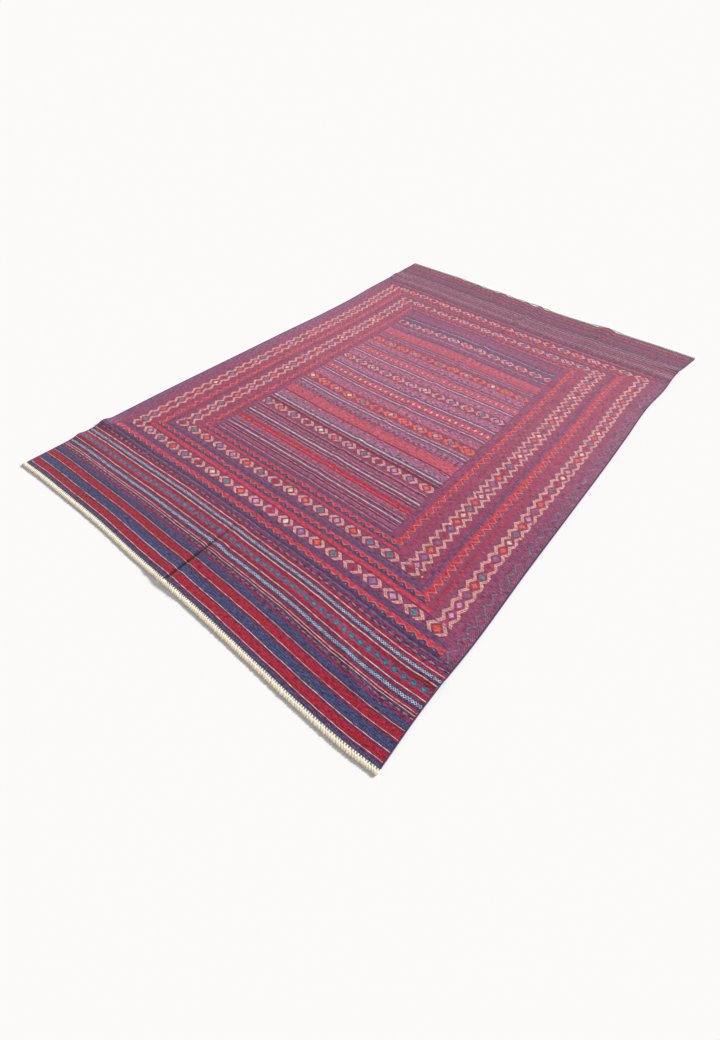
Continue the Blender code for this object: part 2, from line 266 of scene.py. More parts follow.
# The rows of diamonds. Each ribbon is the colour of the chevrons, and the gems are the diamonds between them.
DiamondRow = namedtuple("DiamondRow", "centre chevron first_gem gem_places gems")
GEM_PLACES_OUTER = [(0.13, 0), (0.482, 4), (0.953, 9), (1.387, 14), (1.58, 16), (1.875, 19)]
GEM_PLACES_INNER = [(0.285, 0), (0.557, 3), (1.018, 8), (1.458, 13), (1.655, 15)]
GEM_PLACES_FIELD = [(0.46, 0), (0.83, 4), (1.10, 7), (1.455, 11)]
GEM_PLACES_FIELD_FAR = [(0.48, 0), (0.84, 4), (1.10, 7), (1.447, 11)]
GEM_PLACES_FIELD_LAST = [(0.465, 0), (0.838, 4), (1.125, 7), (1.495, 11)]
NEAR_OUTER_ROW = DiamondRow(0.489, "cream", 0, GEM_PLACES_OUTER, [
    "empty", "lilac", "teal", "orange", "blue", "empty", "cream", "teal", "orange", "lilac",
    "empty", "cream", "blue", "orange", "teal", "empty", "blue", "lilac", "teal", "orange",
])
NEAR_INNER_ROW = DiamondRow(0.6265, "cream", 0, GEM_PLACES_INNER, [
    "empty", "teal", "orange", "blue", "lilac", "orange", "teal", "empty",
    "cream", "orange", "teal", "lilac", "orange", "blue", "teal", "empty",
])
FAR_INNER_ROW = DiamondRow(2.436, "cream", 0, [(0.30, 0), (0.60, 3), (1.005, 8), (1.48, 13), (1.665, 15)], [
    "empty", "lilac", "empty", "lilac", "empty", "rose", "orange", "grey",
    "grey", "empty", "teal", "orange", "blue", "lilac", "teal", "orange",
])
FAR_OUTER_ROW = DiamondRow(2.549, "cream", 0, [(0.115, 0), (0.53, 5), (0.925, 9), (1.31, 13), (1.87, 19)], [
    "empty", "grey", "orange", "teal", "empty", "rose", "lilac", "rose", "teal", "rose",
    "empty", "grey", "lilac", "empty", "teal", "orange", "cream", "empty", "teal", "orange",
])
FIELD_ROWS = [
    DiamondRow(1.025, "cream", 0, GEM_PLACES_FIELD, [
        "teal", "orange", "blue", "empty", "cream", "orange",
        "lilac", "teal", "empty", "lilac", "blue", "orange",
    ]),
    DiamondRow(1.340, "orange", 0, GEM_PLACES_FIELD, [
        "cream", "orange", "lilac", "cream", "teal", "empty",
        "cream", "orange", "lilac", "grey", "teal", "orange",
    ]),
    DiamondRow(1.631, "cream", 0, GEM_PLACES_FIELD_FAR, [
        "orange", "blue", "grey", "teal", "orange", "lilac",
        "cream", "empty", "blue", "orange", "teal", "lilac",
    ]),
    DiamondRow(1.908, "orange", 0, GEM_PLACES_FIELD_FAR, [
        "orange", "grey", "orange", "grey", "empty", "teal",
        "orange", "grey", "empty", "pale blue", "orange", "teal",
    ]),
    DiamondRow(2.190, "cream", 0, GEM_PLACES_FIELD_LAST, [
        "empty", "teal", "orange", "slate", "lilac", "orange",
        "grey", "teal", "lilac", "orange", "teal", "orange",
    ]),
]

# The columns of diamonds between two zigzags.
DiamondColumn = namedtuple("DiamondColumn", "centre waist swell gem_places gems")
COLUMNS = {
    "right outer": DiamondColumn(1.884, 0.0135, 0.0175, [(0.6156, 0), (1.47, 16), (2.101, 28), (2.345, 33), (2.47, 35)], [
        "lilac", "slate", "orange", "teal", "empty", "blue", "orange", "cream", "teal", "orange", "lilac", "slate",
        "orange", "empty", "teal", "empty", "cream", "lilac", "slate", "orange", "cream", "empty", "teal", "orange",
        "cream", "empty", "blue", "orange", "teal", "empty", "lilac", "orange", "teal", "orange", "empty", "teal",
    ]),
    "right inner": DiamondColumn(1.665, 0.0135, 0.0235, [(0.659, 0), (1.472, 17), (2.118, 30), (2.389, 36)], [
        "lilac", "blue", "orange", "slate", "empty", "blue", "orange", "cream", "teal", "orange", "cream", "lilac",
        "blue", "orange", "empty", "teal", "empty", "cream", "lilac", "slate", "orange", "cream", "empty", "teal",
        "orange", "cream", "empty", "blue", "orange", "teal", "cream", "empty", "lilac", "orange", "teal", "empty",
        "lilac",
    ]),
    "left outer": DiamondColumn(0.124, 0.0120, 0.0200, [(0.529, 0), (1.449, 17), (2.086, 28), (2.488, 36)], [
        "teal", "blue", "orange", "empty", "teal", "empty", "orange", "empty", "cream", "empty", "blue", "orange",
        "empty", "lilac", "teal", "empty", "orange", "empty", "lilac", "teal", "empty", "orange", "blue", "empty",
        "orange", "teal", "empty", "blue", "orange", "blue", "empty", "slate", "orange", "teal", "empty", "blue",
        "orange",
    ]),
    "left inner": DiamondColumn(0.300, 0.0120, 0.0210, [(0.654, 0), (1.453, 16), (2.082, 28), (2.393, 34)], [
        "empty", "blue", "empty", "lilac", "teal", "empty", "orange", "empty", "lilac", "empty", "teal", "orange",
        "empty", "cream", "teal", "empty", "blue", "empty", "orange", "empty", "teal", "empty", "cream", "empty",
        "lilac", "orange", "teal", "empty", "cream", "orange", "empty", "teal", "empty", "blue", "orange",
    ]),
}

GEM_PITCH = 0.088

# Where the sharp crease at the near end lies. A dark line of painted shadow is drawn along it.
CREASE_P = 0.9925


# ---- numbers and colours that vary over the cloth


def linear(colour):
    """An sRGB colour of 0 to 255 as the linear one that the renderer works in."""
    return [((part / 255 + 0.055) / 1.055) ** 2.4 if part > 10 else part / 3294 for part in colour]


class Varying:
    """A number that varies over the surface. Arithmetic on it adds the nodes that work it out."""

    def __init__(self, weave, socket):
        self.weave = weave
        self.socket = socket

    def __add__(self, other):
        return self.weave.math("ADD", self, other)

    def __sub__(self, other):
        return self.weave.math("SUBTRACT", self, other)

    def __rsub__(self, other):
        return self.weave.math("SUBTRACT", other, self)

    def __mul__(self, other):
        return self.weave.math("MULTIPLY", self, other)

    def __truediv__(self, other):
        return self.weave.math("DIVIDE", self, other)

    def absolute(self):
        return self.weave.math("ABSOLUTE", self)

    def rounded(self):
        return self.weave.math("ROUND", self)

    def below(self, limit):
        return self.weave.math("LESS_THAN", self, limit)

    def above(self, limit):
        return self.weave.math("GREATER_THAN", self, limit)

    def near(self, middle, reach):
        return self.weave.math("COMPARE", self, middle, reach)

    def fold(self, period):
        """The distance to the nearest whole multiple of the period."""
        return self.weave.math("PINGPONG", self, period / 2)

    def snap(self, step):
        return self.weave.math("SNAP", self, step) + step / 2


class Weave:
    """One woven material, and the nodes that work it out."""

    def __init__(self, name):
        self.material = bpy.data.materials.new(name)
        self.material.use_nodes = True
        self.nodes = self.material.node_tree.nodes
        self.links = self.material.node_tree.links
        self.shader = self.nodes["Principled BSDF"]
        true_p, true_q = self.split_uv("cloth")
        true_a, true_b = self.split_uv("pattern")
        slow = self.noise(true_p, true_q, 0.055, 0.030)
        wobble_p = (slow - 0.5) * 0.0030
        wobble_q = (self.noise(true_p + 7.0, true_q, 0.075, 0.050) - 0.5) * 0.0035
        self.warp, self.weft = true_p, true_q
        self.p = true_p + wobble_p
        self.q = true_q + wobble_q
        self.a = true_a + wobble_p
        self.b = true_b + wobble_q
        self.tick = self.noise(true_p + true_q * 0.45, true_q, 0.0034, 0.0060)
        self.dash = self.noise(true_p, true_q, 0.0200, 0.0032)
        self.colour = None

    def node(self, kind, **settings):
        made = self.nodes.new(kind)
        for name, value in settings.items():
            setattr(made, name, value)
        return made

    def feed(self, socket, value):
        if isinstance(value, Varying):
            self.links.new(value.socket, socket)
        elif isinstance(value, bpy.types.NodeSocket):
            self.links.new(value, socket)
        else:
            socket.default_value = value

    def math(self, operation, *inputs):
        node = self.node("ShaderNodeMath", operation=operation)
        for socket, value in zip(node.inputs, inputs):
            self.feed(socket, value)
        return Varying(self, node.outputs[0])

    def split_uv(self, name):
        place = self.node("ShaderNodeUVMap", uv_map=name)
        parts = self.node("ShaderNodeSeparateXYZ")
        self.links.new(place.outputs["UV"], parts.inputs[0])
        return Varying(self, parts.outputs["X"]), Varying(self, parts.outputs["Y"])

    def noise(self, across, along, size_across, size_along, detail=1.0):
        place = self.node("ShaderNodeCombineXYZ")
        self.feed(place.inputs["X"], across / size_across)
        self.feed(place.inputs["Y"], along / size_along)
        node = self.node("ShaderNodeTexNoise", noise_dimensions="2D")
        self.links.new(place.outputs[0], node.inputs["Vector"])
        node.inputs["Scale"].default_value = 1.0
        node.inputs["Detail"].default_value = detail
        return Varying(self, node.outputs["Fac"])

    def stretch(self, value, low, high):
        """0 where the value is low, 1 where it is high, and in between a smooth change."""
        node = self.node("ShaderNodeMapRange", interpolation_type="SMOOTHSTEP")
        self.feed(node.inputs["Value"], value)
        node.inputs["From Min"].default_value = low
        node.inputs["From Max"].default_value = high
        return Varying(self, node.outputs[0])

    def piecewise(self, value, knots):
        """A number that runs straight from knot to knot: each knot is (value, number)."""
        total = None
        for (start, first), (end, last) in zip(knots, knots[1:]):
            node = self.node("ShaderNodeMapRange")
            opens, closes = start == knots[0][0], end == knots[-1][0]
            node.clamp = True
            rate = (last - first) / (end - start)
            low = start - 0.3 if opens else start
            high = end + 0.3 if closes else end
            self.feed(node.inputs["Value"], value)
            node.inputs["From Min"].default_value = low
            node.inputs["From Max"].default_value = high
            node.inputs["To Min"].default_value = first - rate * (start - low) if opens else 0.0
            node.inputs["To Max"].default_value = (
                last + rate * (high - end) if opens else last - first + rate * (high - end)
            )
            part = Varying(self, node.outputs[0])
            total = part if total is None else total + part
        return total

    def ramp(self, value, low, high, steps):
        """The colour of the step that the value is in. Each step is (start, colour of 3 or 4 numbers)."""
        node = self.node("ShaderNodeValToRGB")
        node.color_ramp.interpolation = "CONSTANT"
        elements = node.color_ramp.elements
        while len(elements) > 1:
            elements.remove(elements[-1])
        for index, (start, colour) in enumerate(steps):
            place = min(max((start - low) / (high - low), 0.0), 1.0)
            element = elements[0] if index == 0 else elements.new(place)
            element.position = place
            element.color = [*colour, 1.0][:4]
        self.feed(node.inputs["Fac"], (value - low) / (high - low))
        return node

    def mix(self, amount, first, second):
        node = self.node("ShaderNodeMix", data_type="RGBA")
        self.feed(node.inputs["Factor"], amount)
        for socket, colour in ((node.inputs["A"], first), (node.inputs["B"], second)):
            colour_socket = [i for i in node.inputs if i.name == socket.name and i.type == "RGBA"][0]
            if isinstance(colour, bpy.types.NodeSocket):
                self.links.new(colour, colour_socket)
            else:
                colour_socket.default_value = (*colour, 1.0)
        return [o for o in node.outputs if o.type == "RGBA"][0]

    def paint(self, mask, colour):
        """Lays a colour over what is there, where the mask is 1."""
        if isinstance(colour, str):
            colour = linear(SRGB[colour])
        self.colour = self.mix(mask, self.colour, colour)

    def yarn_colour(self, name):
        """The ground colour of one yarn, with its ticks."""
        yarn = YARNS[name]
        amount = self.stretch(self.dash if yarn.dashed else self.tick, 0.38, 0.62)
        return self.mix(amount, linear(SRGB[yarn.dark]), linear(SRGB[yarn.light]))

    def stripes(self, value, table):
        """Stripes across the value, each spun of the two colours of its yarn. A ramp holds up to 30 of them."""
        ticks = self.stretch(self.tick, 0.36, 0.64)
        dashes = self.stretch(self.dash, 0.38, 0.62)
        colour = None
        for first in range(0, len(table) - 1, 30):
            steps = table[first : first + 30]
            steps = steps[:-1] if steps[-1][1] is None else steps
            low, high = steps[0][0], table[min(first + 30, len(table) - 1)][0]
            light = [(start, [*linear(SRGB[YARNS[yarn].light]), YARNS[yarn].dashed]) for start, yarn in steps]
            dark = [(start, linear(SRGB[YARNS[yarn].dark])) for start, yarn in steps]
            light_ramp = self.ramp(value, low, high, light)
            dark_ramp = self.ramp(value, low, high, dark)
            dashed = Varying(self, light_ramp.outputs["Alpha"])
            amount = ticks + (dashes - ticks) * dashed
            group = self.mix(amount, dark_ramp.outputs["Color"], light_ramp.outputs["Color"])
            colour = group if colour is None else self.mix(value.above(low), colour, group)
        return colour

    def pick(self, number, names):
        """The colour with that number in the list."""
        colour = None
        for first in range(0, len(names), 16):
            group = names[first : first + 16]
            steps = [(first + index - 0.5, linear(SRGB[name])) for index, name in enumerate(group)]
            ramp = self.ramp(number, first - 0.5, first + len(group) - 0.5, steps)
            if colour is None:
                colour = ramp.outputs["Color"]
            else:
                colour = self.mix(number.above(first - 0.5), colour, ramp.outputs["Color"])
        return colour

    def finish(self):
        """Joins the colour to the shader, with the small differences between threads, a painted shadow along the near
        crease, a painted sheen that lightens the middle and far part of the cloth, and the ribs of the weave.
        """
        thread = self.noise(self.warp, self.weft, 0.0019, 0.0011, detail=0.0)
        fleck = self.noise(self.warp + self.weft * 0.4, self.weft, 0.0056, 0.0048)
        streak = self.noise(self.warp, self.weft, 0.0200, 0.0032, detail=0.0)
        batch = self.noise(self.warp, self.weft, 0.6, 0.030)
        shade = (thread - 0.5) * 0.70 + (fleck - 0.5) * 1.0 + (streak - 0.5) * 1.5 + (batch - 0.5) * 0.35 + 0.97
        # Painted shadow: the colour is darkened in a narrow line along the near crease. The line fades out between q
        # 0.20 and 0.44.
        clear_of_crease_shadow = self.stretch((self.warp - CREASE_P).absolute(), 0.0, 0.0080)
        past_crease_shadow = self.stretch(self.weft, 0.20, 0.44)
        shade = shade * (1.0 - (1.0 - clear_of_crease_shadow) * (1.0 - past_crease_shadow) * 0.80)
        # Painted sheen: from the middle towards the far end, the colour is lightened and washed towards a pale pink.
        # This stands in for the sheen of wool seen at a low angle, and it mostly fades out again near the far end.
        painted_sheen = self.stretch(self.weft, 0.8, 1.8) * (1.0 - self.stretch(self.weft, 2.35, 2.75) * 0.9)
        shade = shade * (painted_sheen * 0.10 + 1.0)
        self.paint(painted_sheen * 0.12, "painted sheen")
        self.paint(self.stretch(self.weft, 2.55, 2.70) * 0.30, "mauve")
        shaded = self.node("ShaderNodeVectorMath", operation="SCALE")
        self.links.new(self.colour, shaded.inputs[0])
        self.feed(shaded.inputs["Scale"], shade)
        self.links.new(shaded.outputs[0], self.shader.inputs["Base Color"])
        rib = self.warp.fold(0.0034) / 0.0017
        weft_row = self.weft.fold(0.0017) / 0.00085
        height = rib * 0.5 + weft_row * 0.3 + thread * 0.5
        bump = self.node("ShaderNodeBump")
        bump.inputs["Strength"].default_value = 0.35
        bump.inputs["Distance"].default_value = 0.0006
        self.feed(bump.inputs["Height"], height)
        self.links.new(bump.outputs[0], self.shader.inputs["Normal"])
        self.shader.inputs["Roughness"].default_value = 0.92
        self.shader.inputs["Specular IOR Level"].default_value = 0.15
        self.shader.inputs["Sheen Weight"].default_value = 0.12
        self.shader.inputs["Sheen Roughness"].default_value = 0.6
        return self.material


# ---- the parts of the pattern


def striped_zone(name, coordinate, table):
    weave = Weave(name)
    weave.colour = weave.stripes(getattr(weave, coordinate), table)
    return weave


def add_dots(weave, row, pitch, half_width, half_height, colour):
    """A row of small diamonds along the stripes."""
    aside = weave.p.fold(pitch)
    up = (weave.q - row).absolute()
    weave.paint((aside / half_width + up / half_height).below(1.0), colour)


def add_chain(weave, row, pitch, swing, half_line, colour):
    """Two crossing zigzags along the panel."""
    line = (weave.p.fold(pitch) * (4 * swing / pitch) - swing).absolute()
    up = (weave.b - row).absolute()
    weave.paint((up - line).absolute().below(half_line), colour)


def add_dashes(weave, height, pitch, length, half_height, colour):
    """A broken line along the stripes, whose dashes are not all alike."""
    along = weave.p + (weave.dash - 0.5) * 0.012
    weave.paint(height.absolute().below(half_height) * along.fold(pitch).below(length / 2), colour)


def panel_outer():
    weave = striped_zone("end_panel_outer", "b", PANEL_OUTER)
    add_dashes(weave, weave.b - 0.1750, 0.0150, 0.0070, 0.0008, "raspberry")
    add_dashes(weave, weave.b - 0.1800, 0.0270, 0.0150, 0.0016, "gold")
    return weave


def panel_inner():
    weave = striped_zone("end_panel_inner", "b", PANEL_INNER)
    add_chain(weave, 0.2270, 0.0190, 0.0054, 0.0011, "white")
    add_chain(weave, 0.3320, 0.0190, 0.0052, 0.0011, "white")
    add_dashes(weave, weave.b - 0.3740, 0.0340, 0.0190, 0.0020, "gold")
    aside = weave.p.fold(0.0372)
    up = (weave.b - 0.2815).absolute()
    weave.paint((aside * -1.0 + up + 0.0186).near(0.0105, 0.0010), "purple")
    weave.paint((aside + up).below(0.0122), "dark navy")
    weave.paint((aside + up).below(0.0102), "teal")
    return weave


def add_guard(weave, away, along, sizes):
    """A guard stripe: lines, then red teeth that point at dark ones, with a bright zigzag between them."""
    weave.colour = weave.stripes(away, sizes["stripes"])
    pitch = sizes["pitch"]
    aside = (along + sizes["phase"]).fold(pitch)
    off = away - (aside * (4 * sizes["swing"] / pitch) + (sizes["line"] - sizes["swing"]))
    weave.paint(off.below(0.0) * away.above(sizes["bottom"]), weave.yarn_colour(sizes["below"]))
    weave.paint(off.above(0.0) * away.below(sizes["top"]), weave.yarn_colour("rust"))
    weave.paint(off.near(-sizes["half_line"], 0.0016), "dark plum")
    weave.paint(off.absolute().below(sizes["half_line"]), "zigzag")
    from_tip = (away - (sizes["line"] + 0.0050)).absolute()
    from_peak = (away - (sizes["line"] - 0.0060)).absolute()
    weave.paint((aside + from_tip).below(0.0028), "dark red")
    weave.paint((from_peak - aside).below(0.0030 - pitch / 2), "pink")


GUARDS = {
    "row 0": dict(
        stripes=[(0.399, "crimson"), (0.4015, "dark"), (0.4045, "crimson"), (0.4085, "navy"), (0.4395, "dusky"),
                 (0.4565, "crimson"), (0.4600, None)],
        bottom=0.4085, below="navy", line=0.4225, swing=0.0070, half_line=0.0018, top=0.4400,
        pitch=0.0443, phase=0.0125),
    "row 1": dict(
        stripes=[(0.513, "dark"), (0.5160, "bright"), (0.5200, "rust"), (0.5360, "bright"), (0.5400, "navy"),
                 (0.571, "dusky"), (0.5760, "violet"), (0.591, "plum"), (0.597, "violet"), (0.601, None)],
        bottom=0.5400, below="navy", line=0.5570, swing=0.0085, half_line=0.0018, top=0.5710,
        pitch=0.0443, phase=0.0305),
    "row 2": dict(
        stripes=[(0.650, "violet"), (0.6540, "bright"), (0.6580, "rust"), (0.6680, "bright"), (0.6710, "navy"),
                 (0.7030, "dusky"), (0.7100, "violet"), (0.7200, "plum"), (0.728, None)],
        bottom=0.6710, below="navy", line=0.6880, swing=0.0085, half_line=0.0018, top=0.7030,
        pitch=0.0443, phase=0.0200),
    "column 1": dict(
        stripes=[(0.168, "plum"), (0.1735, "bright"), (0.1765, "plum"), (0.1810, "bright"), (0.1840, "plum"),
                 (0.1890, "bright"), (0.1925, "plum"), (0.197, "ground"), (0.242, "plum"), (0.2480, "heather"),
                 (0.2580, "violet"), (0.2660, "heather"), (0.2740, "bright"), (0.2765, "heather"),
                 (0.2840, "bright"), (0.287, None)],
        bottom=0.1970, below="ground", line=0.2205, swing=0.0135, half_line=0.0036, top=0.2430,
        pitch=0.0440, phase=0.0100),
    "column 2": dict(
        stripes=[(0.393, "plum"), (0.397, "bright"), (0.400, "plum"), (0.407, "bright"), (0.4095, "plum"),
                 (0.416, "bright"), (0.4190, "plum"), (0.4240, "ground"), (0.4640, "heather"), (0.4740, "plum"),
                 (0.4800, "heather"), (0.4880, "plum"), (0.4960, "heather"), (0.5085, None)],
        bottom=0.4240, below="ground", line=0.4475, swing=0.0125, half_line=0.0034, top=0.4650,
        pitch=0.0440, phase=0.0000),
}


def guard_row(index):
    weave = Weave(f"guard_row_{index}")
    add_guard(weave, weave.b, weave.p, GUARDS[f"row {index}"])
    return weave


def guard_column(index):
    weave = Weave(f"guard_column_{index}")
    add_guard(weave, weave.a, weave.q, GUARDS[f"column {index}"])
    return weave


def guard_corner(index):
    """The row and the column of a guard, which meet along the corner's diagonal."""
    weave = Weave(f"guard_corner_{index}")
    add_guard(weave, weave.b, weave.p, GUARDS[f"row {index}"])
    row = weave.colour
    add_guard(weave, weave.a, weave.q, GUARDS[f"column {index}"])
    from_side = (weave.a - RING_A[2 * index - 1]) / (RING_A[2 * index] - RING_A[2 * index - 1])
    from_end = (weave.b - RING_B[2 * index - 1]) / (RING_B[2 * index] - RING_B[2 * index - 1])
    weave.colour = weave.mix((from_end - from_side).below(0.0), weave.colour, row)
    return weave


def diamond_row(name, row):
    """Diamonds, each between two chevrons that open towards it."""
    weave = Weave(name)
    across = weave.p.snap(0.0011)
    along = weave.q.snap(0.0009)
    number = weave.piecewise(across, row.gem_places)
    nearest = number.rounded()
    aside = (number - nearest).absolute() * GEM_PITCH
    up = (along - row.centre).absolute()
    reach = aside + up * 0.95
    outline = "bright red" if row.chevron == "cream" else "zigzag"
    bands = [
        (0.0, "plum"), (0.0245, outline), (0.0270, row.chevron), (0.0405, outline), (0.0428, "plum"),
    ]
    weave.colour = weave.stripes(along, [(row.centre - 0.03, "dusky"), (row.centre - 0.0215, "heather"),
                                         (row.centre + 0.0215, "dusky"), (row.centre + 0.03, None)])
    steps = [(start, [*linear(SRGB[colour]), 0.0 if colour == "plum" else 1.0]) for start, colour in bands]
    ramp = weave.ramp(reach, 0.0, 0.064, steps)
    inside = up.below(0.0220)
    shown = Varying(weave, ramp.outputs["Alpha"]) * inside
    weave.colour = weave.mix(shown, weave.colour, ramp.outputs["Color"])
    beads = weave.weft.fold(0.0050).below(0.0017)
    weave.paint(reach.near(0.0300, 0.0011) * inside * beads, "plum" if row.chevron == "cream" else "zigzag")
    weave.paint(reach.near(0.0372, 0.0011) * inside * beads, "plum" if row.chevron == "cream" else "zigzag")
    weave.paint(reach.near(0.0336, 0.0010) * inside, "raspberry" if row.chevron == "cream" else "zigzag")
    weave.paint(reach.below(0.0160), outline)
    weave.paint(reach.below(0.0138), weave.pick(nearest, row.gems))
    return weave


def diamond_column(name, column):
    """Two zigzags that part and meet, with a diamond in each opening."""
    weave = Weave(name)
    across = weave.p.snap(0.0011)
    along = weave.q.snap(0.0009)
    number = weave.piecewise(along, column.gem_places)
    nearest = number.rounded()
    apart = (number - nearest).absolute()
    period = (column.gem_places[-1][0] - column.gem_places[0][0]) / (
        column.gem_places[-1][1] - column.gem_places[0][1]
    )
    side = (across - column.centre).absolute()
    line = apart * (-2 * column.swell) + (column.waist + column.swell)
    off = (side - line).absolute()
    weave.colour = weave.yarn_colour("plum")
    weave.paint(off.below(0.0088), "bright red")
    weave.paint(off.below(0.0062), "cream")
    beads = weave.weft.fold(0.0050).below(0.0016)
    weave.paint(off.near(0.0036, 0.0010) * beads, "plum")
    weave.paint(off.below(0.0010), "raspberry")
    reach = side / 0.0120 + apart * (period / 0.0135)
    weave.paint(reach.below(1.25), "bright red")
    weave.paint(reach.below(1.0), weave.pick(nearest, column.gems))
    return weave


def right_edge():
    """The right side's own border: slanting hatches, then a zigzag in blue and teal."""
    weave = Weave("side_edge_right")
    weave.colour = weave.yarn_colour("plum")
    away = weave.a
    wave = weave.q.fold(0.058) * (4 / 0.058) - 1.0
    off = (away - (wave * 0.0115 + 0.0345)).absolute()
    weave.paint(off.below(0.0072), "crimson")
    patch = weave.noise(weave.p, weave.q, 5.0, 0.055)
    blues = weave.mix(patch.above(0.5), linear(SRGB["slate"]), linear(SRGB["sea"]))
    weave.paint(off.below(0.0042), blues)
    slant = (weave.q + weave.p * 1.4).fold(0.0125)
    hatch = weave.mix(slant.below(0.0031), linear(SRGB["crimson"]), linear(SRGB["slate"]))
    weave.paint(away.near(0.009, 0.0075), hatch)
    return weave


def left_edge():
    """The left side's own border: thin slanting dashes of slate and teal."""
    weave = Weave("side_edge_left")
    weave.colour = weave.yarn_colour("plum")
    slant = weave.q + weave.p * 1.9
    dash = slant.fold(0.066).below(0.0042) * weave.p.near(0.030, 0.019)
    patch = weave.noise(weave.p, weave.q, 5.0, 0.050)
    weave.paint(dash, weave.mix(patch.above(0.5), linear(SRGB["slate"]), linear(SRGB["sea"])))
    hatch = slant.fold(0.0125).below(0.0026) * weave.p.below(0.009)
    weave.paint(hatch, "slate")
    return weave


def field_stripes(index):
    weave = striped_zone(f"field_stripes_{index}", "q", FIELD_STRIPES[index])
    if index == 0:
        add_dots(weave, 0.855, 0.0360, 0.0045, 0.0060, "gold")
        for row in (0.7490, 0.8320, 0.8870, 0.9670):
            add_dashes(weave, weave.q - row, 0.0225, 0.0120, 0.0024, "navy")
    if index == 1:
        add_dashes(weave, weave.q - 1.2360, 0.0300, 0.0150, 0.0050, "dusk")
    if index == 2:
        add_dots(weave, 1.488, 0.0360, 0.0070, 0.0110, "cream")
    if index == 3:
        add_dots(weave, 1.768, 0.0360, 0.0060, 0.0100, "rose")
    return weave


# ---- the cloth


def curve_through(table, places):
    """A smooth curve through the points of an edge, read at the given places."""
    at, shift = np.array(table).T
    slope = np.gradient(shift, at)
    left = np.clip(np.searchsorted(at, places, side="right") - 1, 0, len(at) - 2)
    span = at[left + 1] - at[left]
    part = (places - at[left]) / span
    start_weight = 2 * part**3 - 3 * part**2 + 1
    start_slope_weight = part**3 - 2 * part**2 + part
    end_slope_weight = part**3 - part**2
    return (
        start_weight * shift[left]
        + (1 - start_weight) * shift[left + 1]
        + start_slope_weight * span * slope[left]
        + end_slope_weight * span * slope[left + 1]
    )


def fold_height(across, along):
    """How high the cloth's underside lies over the floor."""
    height = np.zeros(np.broadcast(across, along).shape)
    for fold in FOLDS:
        run = (fold.end_across - fold.start_across, fold.end_along - fold.start_along)
        aside = (across - fold.start_across, along - fold.start_along)
        part = np.clip((aside[0] * run[0] + aside[1] * run[1]) / (run[0] ** 2 + run[1] ** 2), 0, 1)
        distance = np.hypot(aside[0] - part * run[0], aside[1] - part * run[1])
        on_left = run[0] * aside[1] - run[1] * aside[0] > 0
        half_width = np.where(on_left, fold.left_half_width, fold.right_half_width)
        crest = fold.start_height + part * (fold.end_height - fold.start_height)
        height += crest * 0.5 * (1 + np.cos(math.pi * np.minimum(distance / half_width, 1)))
    return height


def cloth_underside(across, along):
    """The places of the underside's points, for matching grids of positions in the flat cloth."""
    from_left = across / WIDTH
    from_near = along / LENGTH
    x = across + (1 - from_left) * curve_through(LEFT_SIDE, along)
    x += from_left * curve_through(RIGHT_SIDE, along)
    y = along + (1 - from_near) * curve_through(NEAR_END, across)
    y += from_near * curve_through(FAR_END, across)
    return np.stack([x, y, fold_height(across, along)], axis=-1)


def bow(p, q):
    """How far the pattern's rows lie away from straight ones."""
    rows = np.array([place for place, _ in BOW])
    table = np.array([values for _, values in BOW]) / 1000
    by_row = np.array([np.interp(p, BOW_ACROSS, values) for values in table])
    above = np.clip(np.searchsorted(rows, q, side="right"), 1, len(rows) - 1)
    part = (q - rows[above - 1]) / (rows[above] - rows[above - 1])
    low = np.take_along_axis(by_row, above[None] - 1, 0)[0]
    high = np.take_along_axis(by_row, above[None], 0)[0]
    return low + part * (high - low)


def from_side(p):
    return np.where(p > WIDTH / 2, WIDTH - p, np.interp(p, [*LEFT_P, 1.0], [*LEFT_A, 1.0]))


def from_end(q):
    return np.where(q < LENGTH / 2, q, np.interp(q, [LENGTH / 2, *FAR_Q], [LENGTH / 2, *FAR_B]))


def filled(stops, step):
    """The stops, with evenly spaced lines between them no further apart than the step."""
    lines = []
    stops = sorted(set(round(stop, 6) for stop in stops))
    for start, end in zip(stops, stops[1:]):
        count = max(1, math.ceil((end - start) / step))
        lines.extend(np.linspace(start, end, count, endpoint=False))
    return np.array([*lines, stops[-1]])


def zone_name(p, q):
    """Which zone of the pattern a place is in."""
    a, b = float(from_side(p)), float(from_end(q))
    if b < PANEL_MIDDLE:
        return "panel outer"
    if b < PANEL_END:
        return "panel inner"
    if a < SIDE_EDGE or (a < RING_A[0] and b > RING_B[0]):
        return "right edge" if p > 1 else "left edge"
    if b < RING_B[0]:
        return "guard row 0"
    side = "right" if p > 1 else "left"
    end = "near" if q < LENGTH / 2 else "far"
    if b < RING_B[1]:
        return f"{end} outer row"
    if a < RING_A[1]:
        return f"{side} outer column"
    if b < RING_B[2] or a < RING_A[2]:
        if b < RING_B[2] and a < RING_A[2]:
            return "guard corner 1"
        return "guard row 1" if b < RING_B[2] else "guard column 1"
    if b < RING_B[3]:
        return f"{end} inner row"
    if a < RING_A[3]:
        return f"{side} inner column"
    if b < RING_B[4] or a < RING_A[4]:
        if b < RING_B[4] and a < RING_A[4]:
            return "guard corner 2"
        return "guard row 2" if b < RING_B[4] else "guard column 2"
    for index in range(len(FIELD_ROWS)):
        if q < FIELD_STRIPES[index][-1][0]:
            return f"field stripes {index}"
        if q < FIELD_STRIPES[index + 1][0][0]:
            return f"field row {index}"
    return f"field stripes {len(FIELD_ROWS)}"


